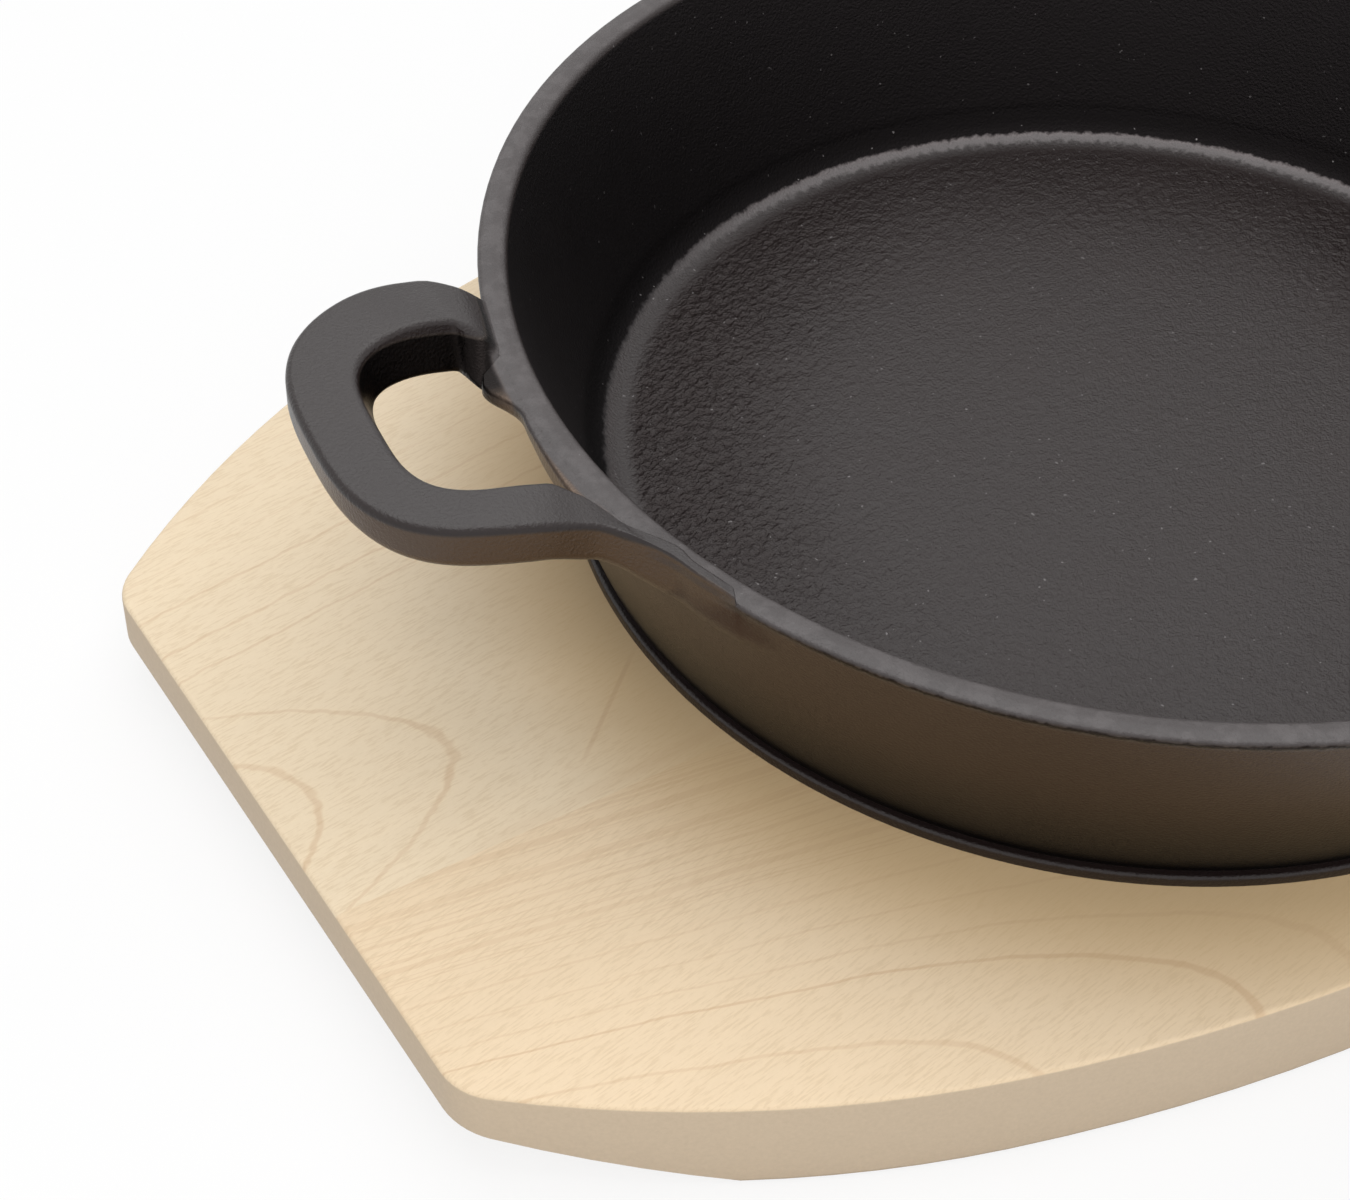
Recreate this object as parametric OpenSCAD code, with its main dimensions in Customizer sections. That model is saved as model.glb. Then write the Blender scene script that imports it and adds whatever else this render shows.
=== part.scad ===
// Sizzle platter: a round cast-iron pan with two loop handles, resting on a glued wooden board.
// Millimetres, Z up. The origin is under the middle of the board, with X along the board.

/* [Board] */
// Length of the board between its two straight ends
board_l = 295; // [290:1:310]
// Width of the board across its middle
board_w = 199.8; // [198:0.2:206]
// Thickness of the board
board_t = 15.9; // [14:0.1:20]
// Radius of the flat arc in the middle of each long side
side_r = 288; // [280:1:300]
// Half of the length along X of that flat arc
side_arc_x = 85; // [80:1:88]
// Radius of the arc that carries each side on to the end
shoulder_r = 175; // [168:1:180]
// Rounding of the four corners, seen from above
corner_r = 9; // [6:0.5:12]
// Where the glue line between the two staves runs, from the middle
glue_y = -19.3; // [-30:0.1:-10]
// Length of the finger bevel under each end
bevel_l = 30; // [20:1:40]
// Thickness that the bevel leaves at the end
bevel_edge_t = 8.4; // [7:0.1:10]

/* [Pan] */
// Outer radius at the rim
rim_r = 100; // [98:0.5:102]
// Height of the pan from the board to the rim
pan_h = 42.2; // [38:0.1:46]
// Outer radius of the wall just above the base
base_r = 86; // [84:0.5:88]
// How far the base flange stands out from the wall
flange_out = 1.1; // [0.6:0.1:1.6]
// Height of the base flange
flange_h = 2; // [1.6:0.1:3]
// Thickness of the wall, measured across
wall_t = 4; // [3.5:0.1:5]
// Thickness of the floor
floor_t = 4.5; // [4:0.1:6]
// Radius of the hollow between the floor and the wall
floor_fillet = 5; // [3:0.5:7]
// Rounding of the rim's two edges
rim_round = 1.1; // [0.6:0.1:1.6]
// Angle between the handles' line and the board's length
pan_turn = 7.5; // [0:0.5:15]

/* [Handles] */
// Reach of each handle from the pan's axis
handle_reach = 131; // [126:0.5:136]
// How far the arm that swings round the pan stands off the handle's middle line
near_half_w = 27.5; // [26:0.1:30]
// How far the other arm stands off it
far_half_w = 28.2; // [26:0.1:30]
// Reach of the finger loop from the pan's axis
loop_reach = 121.9; // [118:0.1:124]
// Half of the width of the finger loop
loop_half_w = 18.1; // [17:0.1:19.5]
// How far the finger loop lies off the handle's middle line
loop_shift = 1.3; // [0:0.1:2]
// How much narrower the finger loop is below than above, on each side
inner_lean = 2.3; // [1:0.1:3]
// How high the handle stands above the rim where it leaves the pan
handle_root_top = 2.6; // [1.5:0.1:3.5]
// How high the handle stands above the rim at its outer bar
handle_tip_top = 6.8; // [5:0.1:8]
// How far the handle's outer edge reaches below the rim where it leaves the pan
handle_root_under = 3.4; // [2:0.1:5]
// How high that edge lies above the rim at the outer bar
handle_tip_under = 0.9; // [0:0.1:2]
// Height of the low crest that carries one arm on over the rim
crest_h = 1.9; // [1:0.1:3]
// How far the skirt below that crest hangs down from the rim
skirt_h = 7; // [4:0.5:9]

/* [Hidden] */

// Finer than this, a circle in the drawing only costs time.
round_fn = 180;
iron = [0.20, 0.19, 0.20];
maple = [0.90, 0.82, 0.68];
maple_dark = [0.87, 0.78, 0.63];

// Slope of the pan's wall, outwards for each millimetre up
wall_slope = (rim_r - base_r) / (pan_h - flange_h);

// The pan, cast in one piece with its handles.

// Points of an arc in n steps, from angle a to angle b
function arc(c, r, a, b, n) = [for (i = [0:n]) c + r * [cos(a + (b - a) * i / n), sin(a + (b - a) * i / n)]];

wall_angle = atan(wall_slope);
inner_base_r = base_r - wall_t + wall_slope * (floor_t - flange_h);
fillet_turn = 90 - wall_angle;
base_round = 0.5;
flange_round = 0.6;
undercut = 0.1;
fillet_c = [
    inner_base_r - floor_fillet * tan(fillet_turn / 2),
    floor_t + floor_fillet
];

module pan_profile() {
    rim_top = pan_h;
    inner_rim_r = rim_r - wall_t;
    flange_r = base_r + flange_out;
    polygon(concat(
        [[0, 0]],
        arc([flange_r - base_round, base_round], base_round, -90, 0, 4),
        arc([flange_r - flange_round, flange_h - flange_round], flange_round, 0, 90, 4),
        [[base_r - undercut, flange_h], [base_r - undercut, flange_h + base_round]],
        arc([rim_r - rim_round, rim_top - rim_round], rim_round, -wall_angle, 90, 6),
        arc([inner_rim_r + rim_round, rim_top - rim_round], rim_round, 90, 180 - wall_angle, 6),
        arc(fillet_c, floor_fillet, -wall_angle, -90, 10),
        [[0, floor_t]]
    ));
}

module pan_bowl() {
    rotate_extrude($fn = round_fn) pan_profile();
}

// A skin over rings of points, closed at both ends. Rings are listed along the shape.
module skin(rings) {
    n = len(rings[0]);
    m = len(rings);
    sides = [for (i = [0:m - 2]) for (j = [0:n - 1])
        [i * n + j, i * n + (j + 1) % n, (i + 1) * n + (j + 1) % n, (i + 1) * n + j]];
    start = [[for (j = [n - 1:-1:0]) j]];
    end = [[for (j = [0:n - 1]) (m - 1) * n + j]];
    polyhedron(points = [for (r = rings) each r], faces = concat(sides, start, end), convexity = 6);
}

// A handle is lofted through sections of four corners: outer top, inner top, inner under, outer
// under. In its own frame s runs outwards along the middle line, t across it, and z up from the
// rim. A section is a flat list: its four corners, then the radius of the rounding at each.
corner_steps = 2;
loft_steps = 2;
bar_rounding = [1.1, 0.9, 1.3, 2];
shoulder_rounding = [1.3, 1, 1, 1.2];
swing_rounding = [0.8, 0.7, 1.3, 2];
crest_rounding = [0.5, 0.6, 0.8, 2.6];
web_rounding = [0.5, 0.3, 0.3, 0.8];
function corner_of(section, i) = [for (k = [0:2]) section[3 * (i % 4) + k]];
function unit(v) = v / norm(v);

// The ring of points round a section
function ring(section) = [for (i = [0:3])
    let (here = corner_of(section, i))
    let (before = unit(corner_of(section, i + 3) - here), after = unit(corner_of(section, i + 1) - here))
    for (k = [0:corner_steps])
        let (a = 90 * k / corner_steps)
        here + section[12 + i] * (before * (1 - sin(a)) + after * (1 - cos(a)))];

// Sections on a smooth curve (Catmull-Rom) through the given ones
function between(a, b, c, d, u) =
    b + 0.5 * u * (c - a + u * (2 * a - 5 * b + 4 * c - d + u * (3 * (b - c) + d - a)));
function smooth(sections) =
    let (last = len(sections) - 1)
    concat([for (i = [0:last - 1]) for (k = [0:loft_steps - 1])
        let (before = sections[max(i - 1, 0)], after = sections[min(i + 2, last)])
        between(before, sections[i], sections[i + 1], after, k / loft_steps)],
        [sections[last]]);

// Seen from above, the bend lies between two superellipses about the point (root_s, 0). The
// powers set how square they are: 2 would be a plain ellipse.
root_s = 98.5;
near_power = 3;
far_power = 2.8;
loop_power = 3.6;
bend_start = -72;
bend_end = 72;
bend_step = 6;
function loop_r(reach, half_w, power, a) =
    pow(pow(abs(cos(a)) / (reach - root_s), power) + pow(abs(sin(a)) / half_w, power), -1 / power);

// Heights along the handle. The top rises over rise_l. The underside climbs from the root to the
// bar, hangs lower on the inner side, and has a slight belly in the near bend.
rise_l = 20;
inner_drop = 1.2;
bend_belly = 0.8;
belly_angle = 42;
belly_spread = 18;
function clamp01(x) = min(1, max(0, x));
function ease_out(x) = 1 - pow(1 - clamp01(x), 2);
function top_z(s) = handle_root_top + (handle_tip_top - handle_root_top) * ease_out((s - root_s) / rise_l);
function under_z(s) = handle_tip_under
    - (handle_tip_under + handle_root_under) * pow(1 - clamp01((s - root_s) / (handle_reach - root_s)), 2);
function belly(a) = bend_belly * exp(-pow((a - belly_angle) / belly_spread, 2));

function on_ray(r, a) = [root_s + r * cos(a), r * sin(a)];

// Direction square to the finger loop's edge, where the ray at angle a meets it
function loop_normal(a) = unit([
    pow(abs(cos(a)), loop_power - 1) / pow(loop_reach - root_s, loop_power),
    sign(a) * pow(abs(sin(a)), loop_power - 1) / pow(loop_half_w, loop_power)
]);
function bend_section(a) =
    let (outer = on_ray(a > 0 ? loop_r(handle_reach, near_half_w, near_power, a)
        : loop_r(handle_reach, far_half_w, far_power, a), a))
    let (inner = on_ray(loop_r(loop_reach, loop_half_w, loop_power, a), a) + [0, loop_shift])
    let (top = top_z(outer[0]), under = under_z(outer[0]) - belly(a))
    concat(outer, top, inner, top, inner - inner_lean * loop_normal(a), under - inner_drop, outer, under,
        bar_rounding);

// The far arm drops over a rounded shoulder into the rim, and its inner side spreads below.
// Each row: s of the outer side, z of the top, [s, t] of the inner top, [s, t, z] of the inner under.
far_t = -26.4;
shoulder = [
    [93.2, -1.9, [96.4, -13.4], [95, -8, -5.5]],
    [95, -0.9, [97.6, -13.9], [98.6, -7.4, -3.6]],
    [96.8, 0.8, [98.9, -14.9], [101.4, -7.4, -2.4]],
    [98.6, 2.5, [100.2, -15.6], [103.1, -8.6, -1.8]],
    [100.6, 3.8, [101.7, -16.1], [103.9, -11.2, -1.8]]
];
function shoulder_section(row) =
    let (outer = [row[0], far_t], top = row[1], under = row[3])
    concat(outer, top, row[2], top, under, outer, under[2] - 0.2, shoulder_rounding);

// The near arm swings round the pan and narrows on the rim.
// Each row: [s, t] of the outer side, z of its top and of its underside, [s, t] of the inner top,
// and [s, t, z] of the inner under, which soon lies inside the wall.
swing = [
    [[103.6, 27.35], 4.3, -2.7, [102.2, 20.3], [101.8, 20.2, -4.5]],
    [[101.1, 27.7], 3.6, -3.3, [101, 20.9], [99.6, 21.2, -5.3]],
    [[98.9, 28.9], 2.9, -4.3, [99.8, 22.2], [96.2, 22.8, -6.8]],
    [[97, 30.7], 2.4, -5.3, [98.6, 24.4], [92.2, 25.6, -9.4]],
    [[95.4, 32.6], 2.1, -6.1, [97.3, 27], [89.8, 29, -10.6]]
];
function swing_section(row) =
    concat(row[0], row[1], row[3], row[1] - 0.1, row[4], row[0], row[2], swing_rounding);

// It ends as a crest on the rim, with a skirt below it that sinks into the wall. The crest stops
// short at a step, and the skirt runs on a little.
// Each row: polar angle, height of the crest, and how far the skirt has sunk.
crest_w = 1.7;
crest_out = 0.4;
step_z = -1.6;
skirt_in = 5.4;
skirt_drop = 5;
crest = [
    [20.6, crest_h, 0],
    [22.2, crest_h - 0.1, 0],
    [23.8, crest_h - 0.25, 0.1],
    [25.3, crest_h - 0.5, 0.35],
    [26.2, crest_h - 0.8, 0.5]
];
crest_stop = [
    [26.45, step_z, 0.55],
    [27, step_z, 0.8],
    [28, step_z, 1.1],
    [29.5, step_z, 1.9],
    [31, step_z, 3]
];
function polar(r, a, z) = [r * cos(a), r * sin(a), z];
function crest_section(row) =
    let (a = row[0], top = row[1], sunk = row[2])
    let (r = top > 0 ? rim_r + crest_out - 0.6 * sunk : rim_r - 1)
    concat(polar(r, a, top), polar(r - crest_w, a - 1, top - 0.15),
        polar(rim_r - skirt_in - sunk, a, -skirt_h - skirt_drop), polar(rim_r - 0.2 - sunk, a, -skirt_h),
        crest_rounding);

module handle_loop() {
    through = concat(
        [for (row = shoulder) shoulder_section(row)],
        [for (a = [bend_start:bend_step:bend_end]) bend_section(a)],
        [for (row = swing) swing_section(row)],
        [for (row = crest) crest_section(row)]
    );
    sections = concat(smooth(through), [for (row = crest_stop) crest_section(row)]);
    skin([for (section = sections) ring(section)]);
}

// A thin web fills the far corner of the finger loop and dwindles along the rim.
// Each row: [s, t] inside the rim, and [s, t] at the free edge.
web_top = -0.3;
web_under = -2.7;
web_root = -4.6;
web_rows = [
    [[96.4, -15.5], [102.6, -10.2]],
    [[97.2, -12.6], [103.3, -8.6]],
    [[97.4, -10], [103.2, -7.3]],
    [[97.6, -7.8], [102.6, -5.9]],
    [[97.8, -5.8], [101.9, -4.8]],
    [[98, -4], [101.2, -3.5]],
    [[98.1, -0.6], [100.6, -0.6]],
    [[98.1, 4.6], [100.8, 4.6]],
    [[97.3, 12.6], [100.9, 13.2]],
    [[96.4, 17], [100.6, 17.8]],
    [[95.2, 21.5], [99.4, 22.6]]
];
function web_section(row) =
    concat(row[1], web_top, row[0], web_top, row[0], web_root, row[1], web_under, web_rounding);
module web() {
    skin([for (section = smooth([for (row = web_rows) web_section(row)])) ring(section)]);
}

module handle() {
    translate([0, 0, pan_h]) {
        handle_loop();
        web();
    }
}

module pan() {
    color(iron) translate([0, 0, board_t]) rotate([0, 0, -pan_turn]) {
        pan_bowl();
        for (a = [0, 180]) rotate([0, 0, a]) handle();
    }
}

// The board, glued from two staves.
half_l = board_l / 2;
half_w = board_w / 2;
side_c = [0, half_w - side_r];
side_turn = asin(side_arc_x / side_r);
shoulder_c = side_c + (side_r - shoulder_r) * [sin(side_turn), cos(side_turn)];

// Where the shoulder's arc, the end and the rounding between them meet
corner_c = [
    half_l - corner_r,
    shoulder_c[1] + sqrt(pow(shoulder_r - corner_r, 2) - pow(half_l - corner_r - shoulder_c[0], 2))
];

// Direction from the shoulder's centre to the point where the corner's rounding starts
shoulder_turn = (corner_c - shoulder_c) / norm(corner_c - shoulder_c);

// One quarter of the board's outline: the flat arc, the shoulder's arc, the corner and the end
module board_quarter() {
    intersection() {
        translate(side_c) circle(r = side_r, $fn = 720);
        square([half_l, half_w]);
        union() {
            square([side_arc_x, half_w]);
            intersection() {
                translate(shoulder_c) circle(r = shoulder_r, $fn = 480);
                union() {
                    square([half_l, corner_c[1]]);
                    square([corner_c[0], half_w]);
                    translate(corner_c) circle(r = corner_r, $fn = 72);
                    polygon([corner_c, corner_c + shoulder_r * shoulder_turn, [corner_c[0], half_w]]);
                }
            }
        }
    }
}

module board_outline() {
    for (x = [0, 1]) for (y = [0, 1])
        mirror([x, 0]) mirror([0, y]) board_quarter();
}

module board_blank() {
    difference() {
        linear_extrude(height = board_t) board_outline();
        for (a = [0, 180]) rotate([0, 0, a]) finger_bevel();
    }
}

module finger_bevel() {
    edge_z = board_t - bevel_edge_t;
    translate([0, half_w + 1, 0]) rotate([90, 0, 0])
        linear_extrude(height = board_w + 2)
        polygon([[half_l - bevel_l, 0], [half_l + 1, edge_z * (bevel_l + 1) / bevel_l], [half_l + 1, -1],
            [half_l - bevel_l, -1]]);
}

module board_wide_stave() {
    color(maple) intersection() {
        board_blank();
        translate([-half_l, glue_y, 0]) cube([board_l, half_w - glue_y, board_t]);
    }
}

module board_narrow_stave() {
    color(maple_dark) intersection() {
        board_blank();
        translate([-half_l, -half_w, 0]) cube([board_l, half_w + glue_y, board_t]);
    }
}

pan();
board_wide_stave();
board_narrow_stave();
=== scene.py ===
# %% [markdown]
# # Sizzle platter
# A round cast-iron pan with two loop handles rests on a board that is glued from two maple staves.
# The drawing of the part gives the frame: every size below is in millimetres, in the same axes as
# the drawing, and is turned to metres where Blender needs it. The board's underside lies on z = 0.

# %% Load the frame
from math import cos, exp, hypot, pi, radians, sin

import bmesh
import bpy
from mathutils import Matrix, Vector


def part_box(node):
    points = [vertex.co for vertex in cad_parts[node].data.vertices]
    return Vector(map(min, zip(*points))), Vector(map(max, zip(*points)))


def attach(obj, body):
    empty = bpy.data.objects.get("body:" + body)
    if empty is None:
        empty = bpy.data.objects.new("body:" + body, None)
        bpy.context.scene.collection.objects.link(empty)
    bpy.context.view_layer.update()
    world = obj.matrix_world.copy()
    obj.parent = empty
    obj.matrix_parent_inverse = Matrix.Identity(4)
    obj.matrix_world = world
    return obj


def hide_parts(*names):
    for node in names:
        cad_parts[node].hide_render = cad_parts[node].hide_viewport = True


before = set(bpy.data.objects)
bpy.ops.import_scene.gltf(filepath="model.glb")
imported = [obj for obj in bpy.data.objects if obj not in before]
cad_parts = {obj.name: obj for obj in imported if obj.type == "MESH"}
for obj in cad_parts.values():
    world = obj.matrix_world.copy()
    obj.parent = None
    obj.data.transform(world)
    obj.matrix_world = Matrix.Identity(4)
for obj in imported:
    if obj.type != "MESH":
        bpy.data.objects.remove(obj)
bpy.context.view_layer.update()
mm = 0.001

# %% [markdown]
# ## Sizes
# The pan sits on the board, so its height comes from the board's own box. The rest of the pan is
# given by a few sizes that a pattern maker would write down. They could be read off the drawing's
# mesh too, but a size with a name also says what it is for.

# %% Sizes
board_low, board_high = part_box("board_wide_stave")
board_top = board_high.z / mm
glue_y = board_low.y / mm
pan_turn = 7.5                      # degrees between the handles' line and the board's length
rim_r, pan_h = 100.0, 42.2          # the rim's outer radius, and its height over the board
base_r = 86.0                       # the wall's outer radius at the foot
flange_out, flange_h = 1.1, 2.0     # the thin flange round the foot
wall_t, floor_t = 4.0, 4.5
wall_slope = (rim_r - base_r) / (pan_h - flange_h)
print("board top at", round(board_top, 1), "mm, glue line at y", round(glue_y, 1), "mm")

# %% [markdown]
# ## The camera
# The picture looks down over the left end of the board. The round rim, the round foot and the
# board's outline only fit the photo together from one place, and these numbers are that place.
# A camera's turn is built from three plain turns: round the upright axis, up from the horizon, and
# a small roll about the line of sight. Aiming at a point would be shorter, but it leaves out the
# roll.

# %% Camera
view_azimuth = radians(-33.02)
view_elevation = radians(44.08)
view_roll = radians(1.79)
view_from = Vector((-238.7, -239.7, 303.1)) * mm

camera = bpy.data.objects.new("camera", bpy.data.cameras.new("camera"))
bpy.context.scene.collection.objects.link(camera)
camera.data.sensor_width = 36
camera.data.lens = 74.25
view_turn = (Matrix.Rotation(view_azimuth, 4, "Z")
             @ Matrix.Rotation(pi / 2 - view_elevation, 4, "X")
             @ Matrix.Rotation(view_roll, 4, "Z"))
camera.matrix_world = Matrix.Translation(view_from) @ view_turn
camera.data.clip_start, camera.data.clip_end = 0.01, 20
bpy.context.scene.camera = camera
bpy.context.scene.view_settings.view_transform = "Standard"
print("camera at", [round(v, 3) for v in camera.location])

# %% [markdown]
# ## Writing a finish as sums
# A finish is a tree of nodes. Here a small class wraps a socket, so that a sum in Python adds the
# Math nodes that work it out over the surface.

# %% Values that vary
class Varying:
    """A value that varies over a surface, as a socket that sums can be written with."""

    def __init__(self, nodes, socket):
        self.nodes, self.socket = nodes, socket

    def out(self, name):
        return Varying(self.nodes, self.socket.node.outputs[name])

    def sum(self, operation, *values):
        return self.nodes.node("ShaderNodeMath", {"operation": operation}, dict(enumerate(values)))

    def larger(self, other):
        return self.sum("MAXIMUM", self, other)

    def __add__(self, other):
        return self.sum("ADD", self, other)

    def __sub__(self, other):
        return self.sum("SUBTRACT", self, other)

    def __rsub__(self, other):
        return self.sum("SUBTRACT", other, self)

    def __mul__(self, other):
        return self.sum("MULTIPLY", self, other)

    def __truediv__(self, other):
        return self.sum("DIVIDE", self, other)

    def __pow__(self, power):
        return self.sum("POWER", self, power)

    def __abs__(self):
        return self.sum("ABSOLUTE", self)

    __radd__, __rmul__ = __add__, __mul__

# %% [markdown]
# Every other kind of node is made by one method, which takes its settings and what goes into it.
# The world and the materials share it. A finish adds the few patterns that all of them are built
# from: a noise, a soft step, a thin line, a mix of two colours and a bump.

# %% Nodes and finishes
class Nodes:
    """The nodes of the world or of a material."""

    def __init__(self, tree):
        self.tree = tree

    def node(self, kind, settings=None, inputs=None, output=0):
        made = self.tree.nodes.new(kind)
        for name, value in (settings or {}).items():
            setattr(made, name, value)
        for name, value in (inputs or {}).items():
            self.feed(made.inputs[name], value)
        return Varying(self, made.outputs[output])

    def feed(self, socket, value):
        if isinstance(value, Varying):
            self.tree.links.new(value.socket, socket)
        else:
            socket.default_value = value

    def seen(self):
        """1 where a place is seen, straight, mirrored or through glass, and 0 where it gives light."""
        path = self.node("ShaderNodeLightPath")
        straight_or_mirrored = path.out("Is Camera Ray").larger(path.out("Is Glossy Ray"))
        return straight_or_mirrored.larger(path.out("Is Transmission Ray"))


class Finish(Nodes):
    """A material whose nodes are written in Python. Lengths in it are millimetres."""

    def __init__(self, name):
        self.material = bpy.data.materials.new(name)
        self.material.use_nodes = True
        super().__init__(self.material.node_tree)
        self.surface = self.tree.nodes["Principled BSDF"]
        place = self.node("ShaderNodeTexCoord", output="Object")
        self.place = self.node("ShaderNodeVectorMath", {"operation": "SCALE"},
                               {0: place, "Scale": 1 / mm})

    def axes(self):
        split = self.node("ShaderNodeSeparateXYZ", inputs={0: self.place})
        return split.out("X"), split.out("Y"), split.out("Z")

    def along(self, length, width, turn_z=0.0):
        """The place for a pattern that is so long and so wide, turned about the upright axis."""
        return self.node("ShaderNodeMapping", {"vector_type": "TEXTURE"}, {
            "Vector": self.place, "Rotation": (0, 0, turn_z), "Scale": (length, width, width)})

    def noise(self, size, detail=2.0, rough=0.5, place=None):
        return self.node("ShaderNodeTexNoise", inputs={
            "Vector": place or self.place, "Scale": 1 / size, "Detail": detail,
            "Roughness": rough})

    def ease(self, value, low, high):
        """0 below low, 1 above high, and smooth between them."""
        return self.node("ShaderNodeMapRange", {"interpolation_type": "SMOOTHSTEP"}, {
            "Value": value, "From Min": low, "From Max": high})

    def line(self, value, at, width):
        """1 on a thin line where the value passes at, and 0 beside it."""
        return 1 - self.ease(abs(value - at), width * 0.3, width)

    def mix(self, share, first, second):
        colours = {0: share, 6: first, 7: second}
        return self.node("ShaderNodeMix", {"data_type": "RGBA"}, colours, output=2)

    def bump(self, height, depth):
        return self.node("ShaderNodeBump", inputs={
            "Height": height, "Distance": depth * mm, "Strength": 1.0})

    def set(self, **sockets):
        for name, value in sockets.items():
            self.feed(self.surface.inputs[name.replace("_", " ")], value)

# %% [markdown]
# ## Floor and light
# The pan was photographed in a white studio. What is seen of the room, straight or mirrored, is a
# full white, while the soft light that it gives is much weaker, so that the lamps still make
# shadows. The floor is dealt with in the same way: most of the white that is seen of it is a glow,
# and the rest is lit, which keeps a soft shadow under the board. A plain white world would be
# simpler, but it lights every hollow, and the platter would seem to float.

# %% World and floor
room_level = 0.38       # the room's own light, where the white that is seen counts as 1
glow_share = 0.82       # how much of the floor's white is seen whatever the shadow

world = bpy.data.worlds.new("studio")
bpy.context.scene.world = world
world.use_nodes = True
room = Nodes(world.node_tree)
room_light = world.node_tree.nodes["Background"]
room_light.inputs["Color"].default_value = (1, 1, 1, 1)
room.feed(room_light.inputs["Strength"], room.seen() * (1 - room_level) + room_level)

bpy.ops.object.select_all(action="DESELECT")
bpy.ops.mesh.primitive_plane_add(size=8, location=(0, 0, -0.0002))
floor = bpy.context.object
floor.name = "studio_floor"

white = Finish("studio white")
white.set(Base_Color=(0.86, 0.86, 0.86, 1), Roughness=0.9, Specular_IOR_Level=0)
glow = white.node("ShaderNodeEmission", inputs={"Color": (1, 1, 1, 1)})
blend = white.node("ShaderNodeMixShader", inputs={
    0: white.seen() * glow_share, 1: Varying(white, white.surface.outputs[0]), 2: glow})
white.feed(white.tree.nodes["Material Output"].inputs["Surface"], blend)
floor.data.materials.append(white.material)
print("room level", room_level, "and floor glow", glow_share)

# %% [markdown]
# A broad soft lamp hangs above the pan and a little behind. It is what makes the iron's upper faces
# shine grey. A second one in front fills the near sides. It is kept out of reflections, since the
# photo shows no light patch on the near wall.

# %% Lamps
lamp_aim = Vector((0, 0, 0.03))     # the middle of the pan, in metres as the lamps' places are


def soft_lamp(name, place, size, power):
    lamp = bpy.data.objects.new(name, bpy.data.lights.new(name, "AREA"))
    bpy.context.scene.collection.objects.link(lamp)
    lamp.data.shape = "RECTANGLE"
    lamp.data.size, lamp.data.size_y = size
    lamp.data.energy = power
    lamp.location = place
    lamp.rotation_euler = (Vector(place) - lamp_aim).to_track_quat("Z", "Y").to_euler()
    print(name, "gives", power, "W from", round((Vector(place) - lamp_aim).length, 2), "m")
    return lamp


soft_lamp("lamp_above", (0.14, 0.22, 0.97), (1.1, 1.35), 8.4)
fill = soft_lamp("lamp_front", (-0.45, -0.7, 0.75), (1.0, 1.0), 5.5)
fill.visible_glossy = False

# %% [markdown]
# ## Modelling by hand, in code
# Each piece starts from a primitive and is shaped in edit mode with the tools that a hand would
# pick. An operator acts on whatever is selected, so these helpers select one object, or the points
# of it that lie where a test says.

# %% Modelling helpers
def only(piece):
    bpy.ops.object.select_all(action="DESELECT")
    piece.select_set(True)
    bpy.context.view_layer.objects.active = piece


def edit(piece):
    only(piece)
    bpy.ops.object.mode_set(mode="EDIT")
    bpy.ops.mesh.select_all(action="SELECT")


def done():
    bpy.ops.object.mode_set(mode="OBJECT")


def select_points(piece, wanted):
    """In edit mode: selects the points where wanted(x, y, z) holds, in mm, and their edges."""
    bpy.ops.mesh.select_mode(type="VERT")
    bpy.ops.mesh.select_all(action="DESELECT")
    mesh = bmesh.from_edit_mesh(piece.data)
    for point in mesh.verts:
        if wanted(*(point.co / mm)):
            point.select_set(True)
    mesh.select_flush(True)
    bmesh.update_edit_mesh(piece.data)
    bpy.ops.mesh.select_mode(type="EDGE")


def apply_modifier(piece, kind, **settings):
    only(piece)
    made = piece.modifiers.new(kind.lower(), kind)
    for name, value in settings.items():
        setattr(made, name, value)
    bpy.ops.object.modifier_apply(modifier=made.name)


# %% [markdown]
# ## The pan's bowl
# The bowl is a turned form, so it grows as a pot does on a wheel: a disc is the foot, and the disc
# is extruded up the outside, over the rim, and down the inside, where it ends as the cooking floor.
# Each corner is then bevelled to the radius that the casting has there. A profile could be spun
# instead, but then every rounding would have to be drawn into it by hand.

# %% Bowl
bowl_segments = 160
flange_r = base_r + flange_out
rim_edge_r = rim_r + 0.28       # rounding the rim's edge takes the extra off again
inner_rim_r = rim_r - wall_t
inner_base_r = base_r - wall_t + wall_slope * (floor_t - flange_h)
bowl_rings = [                  # radius and height
    (flange_r, flange_h),
    (base_r - 0.1, flange_h),
    (base_r + 0.1, flange_h + 0.5),
    (rim_edge_r, pan_h),
    (inner_rim_r, pan_h),
    (inner_base_r, floor_t),
]
rounded_edges = [               # radius, height, rounding and how many steps it has
    (inner_base_r, floor_t, 5.0, 10),
    (inner_rim_r, pan_h, 1.0, 4),
    (rim_edge_r, pan_h, 1.0, 4),
    (flange_r, flange_h, 0.6, 3),
    (flange_r, 0.0, 0.4, 2),
]
same_ring = 0.02                # points within so many mm lie on the same ring

bpy.ops.object.select_all(action="DESELECT")
bpy.ops.mesh.primitive_circle_add(vertices=bowl_segments, radius=flange_r * mm, fill_type="NGON")
bowl = bpy.context.object
bowl.name = "pan_casting"
edit(bowl)
ring_r, ring_z = flange_r, 0.0
for next_r, next_z in bowl_rings:
    step_up = (0, 0, (next_z - ring_z) * mm)
    bpy.ops.mesh.extrude_region_move(TRANSFORM_OT_translate={"value": step_up})
    bpy.ops.transform.resize(value=(next_r / ring_r, next_r / ring_r, 1),
                             center_override=(0, 0, next_z * mm))
    ring_r, ring_z = next_r, next_z
bpy.ops.mesh.select_all(action="SELECT")
bpy.ops.mesh.normals_make_consistent(inside=False)

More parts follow.
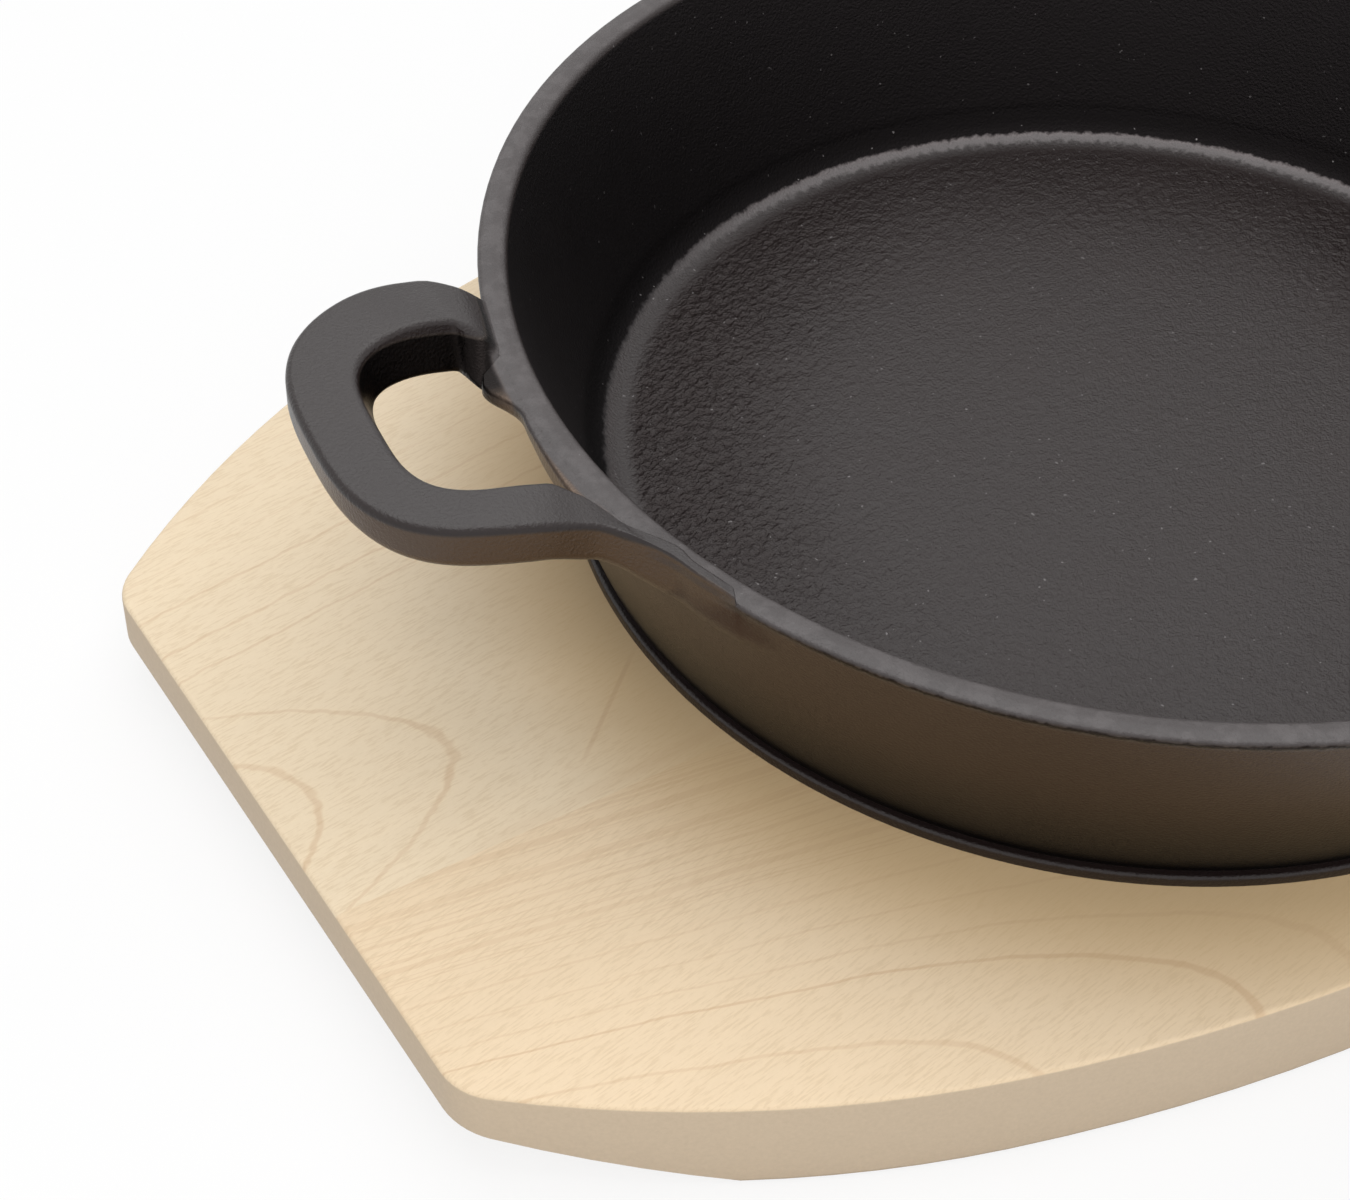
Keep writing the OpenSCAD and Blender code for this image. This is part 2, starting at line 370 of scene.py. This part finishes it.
for edge_r, edge_z, rounding, steps in rounded_edges:
    select_points(bowl, lambda x, y, z: (abs(hypot(x, y) - edge_r) < same_ring
                                         and abs(z - edge_z) < same_ring))
    bpy.ops.mesh.bevel(offset=rounding * mm, offset_type="OFFSET", segments=steps, profile=0.5,
                       clamp_overlap=False)
done()
print("bowl:", len(bowl.data.polygons), "faces, floor edge at radius", round(inner_base_r, 1), "mm")

# %% [markdown]
# ## A loop handle
# Seen from above, the handle is what lies between two rounded loops, the outer and the inner one.
# Both are superellipses, which is the curve between a circle and a rounded square. In the handle's
# own frame s runs outwards along its middle and t across it, and heights count from the rim. The
# finger loop lies a little off the middle, so that one arm is thicker than the other. The bar could
# also be a flat plate with a hole, but then its top couldn't climb and its sides couldn't lean.

# %% The bend
root_s = 98.5                                               # where both loops start
handle_reach = 131.0
near_half_w, near_power = 27.5, 3.0                         # the outer loop, on the near side
far_half_w, far_power = 28.2, 2.8                           # and on the far side
loop_reach, loop_half_w, loop_power = 121.9, 18.1, 3.6      # the finger loop
loop_shift, inner_lean = 1.3, 2.3
root_top, tip_top, rise_l = 2.6, 6.8, 20.0                  # the bar's top climbs outwards
tip_under, root_drop, inner_drop = 0.9, 4.3, 1.2            # and so does its underside
belly, belly_at, belly_wide = 0.8, 42, 18                   # by so many mm, round so many degrees
bar_radii = (1.1, 0.9, 1.3, 2.0)


def clamp(x):
    return min(1.0, max(0.0, x))


def loop_r(reach, half_w, power, a):
    """How far a loop is from the root's middle, on the ray at that angle."""
    s, t = abs(cos(a)) / (reach - root_s), abs(sin(a)) / half_w
    return (s ** power + t ** power) ** (-1 / power)


def top_z(s):
    return root_top + (tip_top - root_top) * (1 - (1 - clamp((s - root_s) / rise_l)) ** 2)


def under_z(s, angle):
    """The underside climbs from the root to the tip, and has a slight belly in the near bend."""
    drop = root_drop * (1 - clamp((s - root_s) / (handle_reach - root_s))) ** 2
    return tip_under - drop - belly * exp(-((angle - belly_at) / belly_wide) ** 2)


def bend_section(angle):
    """The bar's section on the ray at that angle: outer top, inner top, inner under, outer under.
    The inner side leans square to the loop's edge, so that the loop is wider above than below."""
    a = radians(angle)
    half_w, power = (near_half_w, near_power) if a > 0 else (far_half_w, far_power)
    out_r = loop_r(handle_reach, half_w, power, a)
    in_r = loop_r(loop_reach, loop_half_w, loop_power, a)
    outer = (root_s + out_r * cos(a), out_r * sin(a))
    inner = (root_s + in_r * cos(a), in_r * sin(a) + loop_shift)
    square_s = abs(cos(a)) ** (loop_power - 1) / (loop_reach - root_s) ** loop_power
    square_t = abs(sin(a)) ** (loop_power - 1) / loop_half_w ** loop_power * (1 if a > 0 else -1)
    lean = inner_lean / hypot(square_s, square_t)
    low = (inner[0] - lean * square_s, inner[1] - lean * square_t)
    top, under = top_z(outer[0]), under_z(outer[0], angle)
    corners = [(*outer, top), (*inner, top), (*low, under - inner_drop), (*outer, under)]
    return corners, bar_radii


print("bar:", round(handle_reach - loop_reach, 1), "mm wide at the tip, its top",
      round(tip_top - root_top, 1), "mm higher there than at the root")

# %% [markdown]
# The far arm drops over a rounded shoulder and ends inside the rim. The near arm swings round the
# pan instead: it narrows to a low crest on the rim, with a skirt below it that fades into the wall,
# and the crest stops short at a step. A few sections, set where the shape changes, say all this.
# Each has the same four corners as the bar's, so that one loft can run through all of them.

# %% The two roots
skirt_in_r, skirt_out_r = 94.6, 99.8    # the skirt's foot, inside the wall and on it


def polar(r, angle, z):
    return (r * cos(radians(angle)), r * sin(radians(angle)), z)


def shoulder_section(outer, inner, top, under, low):
    corners = [(*outer, top), (*inner, top), (*under, low), (*outer, low - 0.2)]
    return corners, (1.3, 1.0, 1.0, 1.2)


def arm_section(outer, inner, top, under, root, root_z, radii=(0.9, 0.8, 1.6, 2.0)):
    return [(*outer, top), (*inner, top - 0.1), (*root, root_z), (*outer, under)], radii


def crest_section(angle, top, under, sunk=0.0, wide=1.7):
    """Across the rim: the crest above it and the skirt below, sunk into the wall by so much."""
    outer = rim_r + 0.4 - 0.6 * sunk if top > 0 else rim_r - 0.4 - 0.25 * sunk
    corners = [polar(outer, angle, top), polar(outer - wide, angle - wide * 0.6, top - 0.15),
               polar(skirt_in_r - sunk, angle - 0.4, under - 5),
               polar(skirt_out_r - sunk, angle, under)]
    return corners, (0.5, 0.6, 0.8, 2.6)


key_sections = [shoulder_section(*key) for key in (
    ((93.2, -26.4), (96.4, -13.4), -1.9, (95.0, -8.0), -5.5),
    ((95.0, -26.4), (97.6, -13.9), -0.9, (98.6, -7.4), -3.6),
    ((96.8, -26.4), (98.9, -14.9), 0.8, (101.4, -7.4), -2.4),
    ((98.6, -26.4), (100.2, -15.6), 2.5, (103.1, -8.6), -1.8),
    ((100.6, -26.8), (101.7, -16.1), 3.8, (103.9, -11.2), -1.8),
    ((104.1, -28.2), (103.1, -16.5), 4.75, (104.1, -12.9), -2.0))]
key_sections += [bend_section(angle) for angle in range(-72, 73, 6)]
key_sections += [arm_section(*key) for key in (
    ((103.6, 27.35), (102.2, 20.3), 4.3, -2.7, (101.8, 20.2), -4.5),
    ((101.1, 27.7), (101.0, 20.9), 3.6, -3.3, (99.6, 21.2), -5.3),
    ((98.9, 28.9), (99.8, 22.2), 2.9, -4.3, (96.2, 22.8), -6.8),
    ((97.0, 30.7), (98.6, 24.4), 2.4, -5.3, (92.2, 25.6), -9.4),
    ((95.4, 32.6), (97.3, 27.0), 2.1, -6.1, (89.8, 29.0), -10.6, (0.7, 0.6, 1.0, 2.4)))]
key_sections += [crest_section(*key) for key in (
    (20.6, 1.95, -6.6, 0.0, 2.0), (22.2, 1.8, -6.9), (23.8, 1.65, -7.1, 0.1),
    (25.3, 1.4, -7.3, 0.35))]
crest_end = [crest_section(*key) for key in (
    (26.2, 1.15, -7.4, 0.5), (26.45, -1.6, -7.4, 0.55), (27, -1.6, -7.4, 0.8),
    (28, -1.6, -7.5, 1.1), (29.5, -1.6, -7.6, 1.9), (31, -1.6, -7.6, 3.0))]
print("handle:", len(key_sections), "sections given, and", len(crest_end), "for its fading end")

# %% [markdown]
# ## Lofting
# The bar is lofted. Sections between the given ones are read off a smooth curve through them. The
# corners of each are rounded, the first one is filled, and its face is extruded from one section
# to the next and set down there. A bevelled curve would be quicker, but its section can only be
# scaled on the way.

# %% Loft helpers
corner_steps = 4
steps_between = 3       # the loft's sections from one given section to the next


def curve_through(keys, steps):
    """Catmull-Rom: smooth steps between the keys, each a list of numbers."""
    made = []
    for i in range(len(keys) - 1):
        k0, k1, k2, k3 = (keys[min(max(j, 0), len(keys) - 1)] for j in (i - 1, i, i + 1, i + 2))
        for step in range(steps):
            u = step / steps
            made.append([
                b + 0.5 * u * (c - a + u * (2 * a - 5 * b + 4 * c - d + u * (3 * (b - c) + d - a)))
                for a, b, c, d in zip(k0, k1, k2, k3)])
    return made + [list(keys[-1])]


def flat(section):
    corners, radii = section
    return [v for corner in corners for v in corner] + list(radii)


def ring(numbers):
    """The section's points: an arc at each corner, from the side before it to the side after."""
    corners = [Vector(numbers[3 * i:3 * i + 3]) for i in range(4)]
    points = []
    for i, radius in enumerate(numbers[12:]):
        here, before, after = corners[i], corners[i - 1], corners[(i + 1) % 4]
        for k in range(corner_steps + 1):
            a = pi / 2 * k / corner_steps
            points.append(here + (before - here).normalized() * radius * (1 - sin(a))
                          + (after - here).normalized() * radius * (1 - cos(a)))
    return points


def set_down(piece, indices, places):
    """In edit mode: moves the points with those indices to the places."""
    mesh = bmesh.from_edit_mesh(piece.data)
    mesh.verts.ensure_lookup_table()
    for index, place in zip(indices, places):
        mesh.verts[index].co = place * mm
    bmesh.update_edit_mesh(piece.data)


def loft(name, rings):
    count = len(rings[0])
    bpy.ops.object.select_all(action="DESELECT")
    bpy.ops.mesh.primitive_circle_add(vertices=count, radius=1 * mm, fill_type="NGON")
    piece = bpy.context.object
    piece.name = name
    edit(piece)
    last = list(range(count))
    set_down(piece, last, rings[0])
    for places in rings[1:]:
        bpy.ops.mesh.extrude_region_move()
        mesh = bmesh.from_edit_mesh(piece.data)
        mesh.verts.ensure_lookup_table()
        old = [mesh.verts[i].co.copy() for i in last]
        new = [v for v in mesh.verts if v.select]
        last = [min(new, key=lambda v: (v.co - place).length).index for place in old]
        set_down(piece, last, places)
    bpy.ops.mesh.select_all(action="SELECT")
    bpy.ops.mesh.normals_make_consistent(inside=False)
    done()
    print(name, "lofted through", len(rings), "sections:", len(piece.data.polygons), "faces")
    return piece


# %% [markdown]
# The handle's sections run from the far arm's end inside the rim, round the bend, to the near arm's
# crest. The crest's end is left out of the smooth curve, because its step is meant to be sharp.

# %% Loft the handle
handle_rings = curve_through([flat(section) for section in key_sections], steps_between)
handle_rings += [flat(section) for section in crest_end]
handle = loft("handle", [ring(numbers) for numbers in handle_rings])

# %% [markdown]
# A thin web fills the far corner of the finger loop, level with the rim, and dwindles to a slight
# bulge of the rim's edge. The far arm's leaning side dips into it. It is lofted along the rim by
# the same means, from sections that each reach from inside the wall to the web's edge.

# %% Web
web_top, web_foot = -0.08, -4.6


def web_section(inner, outer, thick=2.2):
    corners = [(*outer, web_top), (*inner, web_top), (*inner, web_foot),
               (*outer, web_top - thick)]
    return corners, (0.6, 0.1, 0.3, 0.8)


web_keys = [flat(web_section(*key)) for key in (
    ((96.4, -15.5), (102.6, -10.2)), ((97.2, -12.6), (103.3, -8.6)),
    ((97.4, -10.0), (103.2, -7.3)), ((97.6, -7.8), (102.6, -5.9)),
    ((97.8, -5.8), (101.9, -4.8)), ((98.0, -4.0), (101.2, -3.5)),
    ((98.1, -2.4), (100.7, -2.2)), ((98.1, -0.6), (100.55, -0.6)),
    ((98.1, 1.8), (100.8, 1.8)), ((98.1, 4.6), (100.9, 4.6), 2.6),
    ((97.8, 8.2), (101.0, 8.4), 3.0), ((97.3, 12.6), (100.9, 13.2), 3.4),
    ((96.4, 17.0), (100.6, 17.8), 3.6), ((95.2, 21.5), (99.6, 22.4), 3.2),
    ((94.4, 24.5), (98.2, 25.6), 2.8))]
web = loft("web", [ring(numbers) for numbers in curve_through(web_keys, steps_between)])

# %% [markdown]
# ## One casting
# The pan comes out of the sand in one piece. Both handles are the same form, turned half round, and
# a union joins them to the bowl. They could simply overlap it, but a union leaves one closed skin,
# over which the light runs on without an edge. Points that it leaves almost on each other are
# merged. The pan is then set on the board, turned a little, as it happened to be put down. Its faces
# with more than four sides are cut into triangles last, when the shading is settled.

# %% Cast the pan in one piece
shortest_edge = 0.002       # mm
soft_below = radians(35)    # an edge flatter than this is shaded smooth


def turned_copy(piece, angle):
    only(piece)
    bpy.ops.object.duplicate()
    copy = bpy.context.object
    copy.data.transform(Matrix.Rotation(angle, 4, "Z"))
    return copy


for part in [turned_copy(piece, a) for piece in (web, handle) for a in (0, pi)]:
    part.data.transform(Matrix.Translation((0, 0, pan_h * mm)))
    apply_modifier(bowl, "BOOLEAN", operation="UNION", solver="MANIFOLD", object=part)
    bpy.data.objects.remove(part)
for piece in (web, handle):
    bpy.data.objects.remove(piece)

edit(bowl)
bpy.ops.mesh.remove_doubles(threshold=shortest_edge * mm)
bpy.ops.mesh.dissolve_degenerate(threshold=shortest_edge * mm)
done()
on_board = Matrix.Translation((0, 0, board_top * mm))
bowl.data.transform(on_board @ Matrix.Rotation(radians(-pan_turn), 4, "Z"))
only(bowl)
bpy.ops.object.shade_smooth_by_angle(angle=soft_below)
apply_modifier(bowl, "WEIGHTED_NORMAL", keep_sharp=True)
apply_modifier(bowl, "TRIANGULATE", min_vertices=5, keep_custom_normals=True)
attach(bowl, "root")
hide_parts("pan")
print("cast:", len(bowl.data.polygons), "faces")

# %% [markdown]
# ## The board's staves
# The drawing's staves have the true outline. Each one is copied, its loose triangles are merged,
# and its outer edges are eased as sandpaper leaves them. The glued edges stay sharp, because the
# board is sanded after it is glued. Drawing the outline again would only add a second source.

# %% Staves
def eased_stave(node, name):
    only(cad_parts[node])
    bpy.ops.object.duplicate()
    piece = bpy.context.object
    piece.name = name
    piece.parent = None
    for key in list(piece.keys()):
        del piece[key]
    piece.data = piece.data.copy()
    piece.data.materials.clear()
    edit(piece)
    bpy.ops.mesh.remove_doubles(threshold=0.005 * mm)
    bpy.ops.mesh.dissolve_limited(angle_limit=radians(0.5))
    bpy.ops.mesh.select_mode(type="EDGE")
    bpy.ops.mesh.select_all(action="DESELECT")
    bpy.ops.mesh.edges_select_sharp(sharpness=radians(40))
    mesh = bmesh.from_edit_mesh(piece.data)
    for e in mesh.edges:
        if e.select and all(abs(v.co.y / mm - glue_y) < 0.05 for v in e.verts):
            e.select_set(False)
    bmesh.update_edit_mesh(piece.data)
    bpy.ops.mesh.bevel(offset=0.7 * mm, segments=3, profile=0.5, clamp_overlap=True)
    done()
    only(piece)
    bpy.ops.object.shade_smooth_by_angle(angle=soft_below)
    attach(piece, "root")
    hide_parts(node)
    print(name, len(piece.data.polygons), "faces")
    return piece


wide_stave = eased_stave("board_wide_stave", "wide_stave")
narrow_stave = eased_stave("board_narrow_stave", "narrow_stave")

# %% [markdown]
# ## Cast iron
# Sand casting leaves a fine grit everywhere. The floor, which is as the mould left it, is pebbled,
# the walls are smoother, and the rim has been ground a little lighter. Each of these could be a
# material of its own, but on a casting one look fades into the next. So there is one material, with
# soft masks: each is 1 in its place and 0 elsewhere. The bowl's masks are worked out from the
# distance to the pan's axis and the height over the board.

# %% Where things are on the bowl
iron = Finish("cast iron")
x, y, z = iron.axes()
radius = (x * x + y * y) ** 0.5
height = z - board_top
over_floor = height - floor_t
over_rim = height - pan_h
past_rim = radius - rim_r
pebble = iron.noise(1.3, 2.0, 0.55)

middle_of_wall = base_r - wall_t / 2 + wall_slope * (height - flange_h)
inside = iron.ease(middle_of_wall - radius, -0.5, 0.5)
fillet_r = 78.5         # where the floor starts to curve up into the wall
on_floor = inside * (1 - iron.ease(radius, fillet_r - 2.5, fillet_r)) * (
    1 - iron.ease(over_floor, 1.5, 3.5))
on_wall = inside * iron.ease(over_floor + pebble * 0.8, 1.1, 1.7) * (
    1 - iron.ease(over_rim, -1.3, -0.8))
corner = inside * (1 - iron.ease(over_floor, 2.5, 6.5))
past_wall = iron.ease(past_rim, 0.6, 1.2)
outside = (1 - inside) * iron.ease(height - flange_h, 0.1, 0.5) * (
    1 - iron.ease(over_rim, -2.0, -0.7)) * (1 - past_wall)
low = 1 - iron.ease(height, 3.0, 28.0)
on_rim = iron.ease(over_rim, -0.6, -0.1) * iron.ease(past_rim, -wall_t - 1, -wall_t) * (
    1 - iron.ease(past_rim, 0.6, 1.6)) * (1 - iron.ease(over_rim, 0.5, 1.4))
print("the bowl's masks:", len(iron.tree.nodes), "nodes so far")

# %% [markdown]
# The handles' masks also need the place along the handles and across them. Half a turn brings one
# handle to the other, so both can share them: along is taken without its sign, and across changes
# its sign with it. The height of the bar's top is worked out again as a sum of nodes, because the
# sides begin a little below it.

# %% Where things are on the handles
turn = radians(pan_turn)
along = x * cos(turn) - y * sin(turn)
across = (x * sin(turn) + y * cos(turn)) * along / abs(along)
climb = iron.node("ShaderNodeMapRange", inputs={
    "Value": abs(along), "From Min": root_s, "From Max": root_s + rise_l})
bar_top = pan_h + root_top + (tip_top - root_top) * (1 - (1 - climb) ** 2)

far_arm = iron.ease(0 - across, 3.0, 8.0)
near_arm = iron.ease(past_rim, -0.2, 0.2) * iron.ease(across, 18.0, 24.0)
shoulder = iron.ease(over_rim, 0.2, 0.6) * iron.ease(past_rim, -1.6, -0.8) * far_arm
on_handle = past_wall.larger(shoulder + near_arm)
bar_side = iron.ease(bar_top - height, 0.8, 1.4) * on_handle
far_side = bar_side * far_arm
print("with the handles' masks:", len(iron.tree.nodes), "nodes")

# %% [markdown]
# The pebbles and the streaks between them are two noises. Each has its middle value taken away, or
# the floor would end in a step where they fade out. They are strongest near the wall at the two
# sides, weaker at the front, and the floor's middle is almost smooth. The streaks are twice as long
# as they are wide, and lie 25 degrees off the board's length. The grit is a third, finer noise. Real
# dents would be truer, but they would take millions of faces, and a bump shows the same light.

# %% Grit and pebbles
back_x, back_y = 0.545, 0.84        # a step of 1 towards the back of the pan
away = x * back_x + y * back_y
sideways = abs(x * back_y - y * back_x)

streak = iron.noise(1.0, 2.0, 0.55, iron.along(2.4, 1.1, radians(25)))
grit = iron.noise(0.45, 2.0, 0.6)
patch = iron.noise(14.0, 2.0, 0.5)
mottle = iron.ease(iron.noise(2.6, 3.0, 0.6), 0.44, 0.62)
speck = inside * iron.ease(iron.noise(0.65, 0.0, 0.5), 0.84, 0.87)

rough_side = (0.4 + 0.6 * iron.ease(sideways, 25.0, 60.0)) * (
    0.3 + 0.7 * iron.ease(away, -60.0, -20.0))
rough_floor = on_floor * (0.2 + 0.8 * iron.ease(radius, 38.0, 72.0) * rough_side)
relief = (((pebble - 0.5) * 0.8 + (streak - 0.5) * 0.7) * rough_floor * 0.72
          + grit * (0.12 + 0.05 * on_floor) + patch * 0.05)
print("with the relief:", len(iron.tree.nodes), "nodes")

# %% [markdown]
# Seasoned iron has a dark skin, which shines softly where it faces the lamp. The brown of the
# outer wall and of the bar's sides is a painted reflection of the board. The near-black of the
# inner wall, darkest where it meets the floor, of the outer wall near its foot and of the far side
# of the finger loop is painted shade. A metal with a dark colour reflects less than a dark varnish
# does, so those places are made metal: a choice for the likeness. Three small things are laid over
# this: a painted highlight on the floor's edge, strongest at the back, a broken line of painted
# shade under the front rim, and here and there a bright grain.

# %% Colour and shine of the iron
# painted highlight: a brighter, smoother band where the floor curves up into the wall, stronger
# towards the back
painted_edge_highlight = inside * iron.line(over_floor + pebble * 0.8, 1.2, 0.6) * (
    0.1 + 0.9 * iron.ease(away, 25.0, 75.0))
# painted shade: a broken dark line, also made metal, along the front rim's edge
front_rim = (1 - inside) * (1 - bar_side) * (
    iron.ease(past_rim, -0.8, -0.4) * iron.ease(0 - y, 20.0, 50.0))
painted_rim_shade = front_rim * iron.line(over_rim + pebble * 0.9, -0.4, 0.45)

black = iron.mix(patch, (0.0110, 0.0065, 0.0062, 1), (0.0155, 0.0095, 0.0088, 1))
# painted shade: the inner wall gets a near-black metal colour, darker still just over the floor
black = iron.mix(on_wall, black, (0.0235, 0.0205, 0.0210, 1))
black = iron.mix(on_wall * corner, black, (0.0090, 0.0078, 0.0080, 1))
# painted reflection: the board's brown, as mirrored by the outer wall and the bar's sides
black = iron.mix(outside, black, (0.0570, 0.0395, 0.0335, 1))
black = iron.mix(bar_side, black, (0.0980, 0.0730, 0.0570, 1))
# painted shade on the far side of the finger loop and on the outer wall near its foot
black = iron.mix(far_side.larger(outside * low), black, (0.0120, 0.0100, 0.0095, 1))
black = iron.mix(on_rim * (0.25 + 0.5 * patch + 0.3 * mottle), black, (0.078, 0.068, 0.068, 1))
# the painted shade under the front rim, then the painted highlight on the floor's edge
black = iron.mix(painted_rim_shade, black, (0.0030, 0.0028, 0.0028, 1))
black = iron.mix(painted_edge_highlight, black, (0.105, 0.092, 0.092, 1))
iron.set(Base_Color=iron.mix(speck, black, (0.14, 0.13, 0.13, 1)),
         Metallic=on_wall + outside.larger(bar_side) + painted_rim_shade
         + rough_floor * (0.75 - 0.6 * pebble),
         Roughness=0.31 + 0.06 * patch + 0.12 * inside + 0.04 * on_rim - 0.08 * painted_edge_highlight,
         Normal=iron.bump(relief, 1.0), Specular_IOR_Level=0.44)
bowl.data.materials.clear()
bowl.data.materials.append(iron.material)
print("cast iron:", len(iron.tree.nodes), "nodes")

# %% [markdown]
# ## Maple
# Both staves are plain-sawn maple, sanded and left bare: short fine fibres over a pale colour.
# Close to the pan that colour is painted darker and warmer, as painted shade. The fibres are a
# noise that is stretched almost along the board. The sawn sides are greyer, with a dark brown line
# of painted shade along the lower edge. A picture of wood would be quicker, but it would have a
# seam and a fixed size.

# %% Maple
def maple(name, pale, lean, arches):
    """A stave's finish. arches(wood, x, y) is how strongly its growth rings show at a place."""
    wood = Finish(name)
    x, y, z = wood.axes()
    fibre = wood.noise(1.0, 2.0, 0.6, wood.along(2.8, 0.32, lean))
    fleck = wood.ease(fibre, 0.47, 0.66)
    dust = wood.noise(0.55, 2.0, 0.7)
    band = wood.noise(1.0, 2.0, 0.5, wood.along(70.0, 3.5, lean))
    # painted shade: 1 close to the pan, 0 from 114 mm off its axis
    pan_shade_paint = 1 - wood.ease((x * x + y * y) ** 0.5, 88.0, 114.0)
    rings = arches(wood, x, y)

    dark = tuple(0.93 * v for v in pale[:3]) + (1,)
    face = wood.mix(band, pale, dark)
    face = wood.mix(fleck * 0.32 + dust * 0.22, face, (0.62, 0.46, 0.28, 1))
    # painted shade near the pan, darker and warmer
    face = wood.mix(pan_shade_paint * 0.75, face, (0.70, 0.49, 0.25, 1))
    face = wood.mix(rings, face, (0.56, 0.345, 0.18, 1))

    saw = wood.noise(1.0, 3.0, 0.7, wood.along(0.7, 0.7))
    side = wood.mix(saw, (0.62, 0.495, 0.355, 1), (0.51, 0.40, 0.28, 1))
    # painted shade: a dark brown line along the lower edge of the sides
    side = wood.mix(1 - wood.ease(z, 0.2, 0.9), side, (0.30, 0.20, 0.10, 1))
    on_side = 1 - wood.ease(z, board_top - 0.6, board_top - 0.3)
    wood.set(Base_Color=wood.mix(on_side, face, side), Roughness=0.55 + 0.1 * fibre,
             Normal=wood.bump(fibre, 0.02))
    print(name, "has", len(wood.tree.nodes), "nodes")
    return wood.material


def lines_at(wood, value, places, width):
    """Thin lines where the value passes each of the places."""
    return sum(wood.line(value, at, width) for at in places)


# %% [markdown]
# A growth ring shows as a faint line along the board, and as an arch where it meets the surface at
# a low angle. A line is where a straight slope has a given value, and an arch is where a parabola
# has one, so both can be put where the photo shows them. A slow noise makes them wander, and a
# second one lets them fade here and there. The wide stave has two arches at its left end, a short
# spike beside them, a stain along the joint and lines along its far side.

# %% Growth rings of the wide stave
def wide_rings(wood, x, y):
    drift = wood.noise(24.0, 2.0, 0.5) * 5.0 - 2.5 + wood.noise(4.0, 2.0, 0.6) * 3.0
    fade = 0.45 + 0.9 * wood.noise(9.0, 1.0, 0.5)
    slope = y - x * 0.14 + drift * 0.35
    lines = lines_at(wood, slope, (65.0, 57.0), 0.34) + wood.line(slope, 51.4, 0.3)
    lines = lines + lines_at(wood, slope, (73.0, 80.5, 88.0), 0.3) * 0.5
    arch = x + (y - 1.0) ** 2 / 16.5 + drift
    arches = lines_at(wood, arch, (-119.0, -139.0), 1.0) * (1 - wood.ease(y, 17.0, 27.0))
    stain = wood.line(y - x * 0.06, -11.2, 1.6) * wood.ease(x, -132.0, -118.0)
    spike = wood.line(x - (y + 11.0) * 1.15, -104.0, 0.8) * (
        wood.ease(y, -14.0, -9.0) * (1 - wood.ease(y, 0.0, 5.0)))
    return (lines * 0.30 + arches * 0.34 + stain * 0.12 + spike * 0.34) * fade


# %% [markdown]
# The narrow stave's arches open towards the left end, and their heads lie near the front edge. To
# the right of them the rings crowd: there the parabola's value runs through a noise, which gives
# many lines at uneven steps.

# %% Growth rings of the narrow stave
def narrow_rings(wood, x, y):
    drift = wood.noise(24.0, 2.0, 0.5) * 8.0 - 4.0 + wood.noise(4.0, 2.0, 0.6) * 1.6
    fade = 0.45 + 0.9 * wood.noise(9.0, 1.0, 0.5)
    arch = x + (y + 92.0) ** 2 / 19.3 + drift
    main = wood.line(arch, -51.0, 1.1) * 0.40 + wood.line(arch, -80.0, 1.1) * 0.30
    finer = lines_at(wood, arch, (-36.0, -17.0), 1.1) + wood.line(arch, 6.0, 1.6)
    comb = wood.node("ShaderNodeCombineXYZ", inputs={"X": arch})
    many = wood.line(wood.noise(11.0, 1.0, 0.5, comb), 0.5, 0.035) * wood.ease(arch, 8.0, 20.0)
    return (main + finer * 0.20 + many * 0.22) * fade


# %% [markdown]
# Each stave gets its own pale colour and lean of the fibres, since two boards are never cut alike.

# %% Finish the staves
wide_pale, wide_lean = (0.86, 0.715, 0.515, 1), radians(8)
narrow_pale, narrow_lean = (0.85, 0.675, 0.465, 1), radians(10)
wide_stave.data.materials.append(maple("maple, wide stave", wide_pale, wide_lean, wide_rings))
narrow_stave.data.materials.append(
    maple("maple, narrow stave", narrow_pale, narrow_lean, narrow_rings))
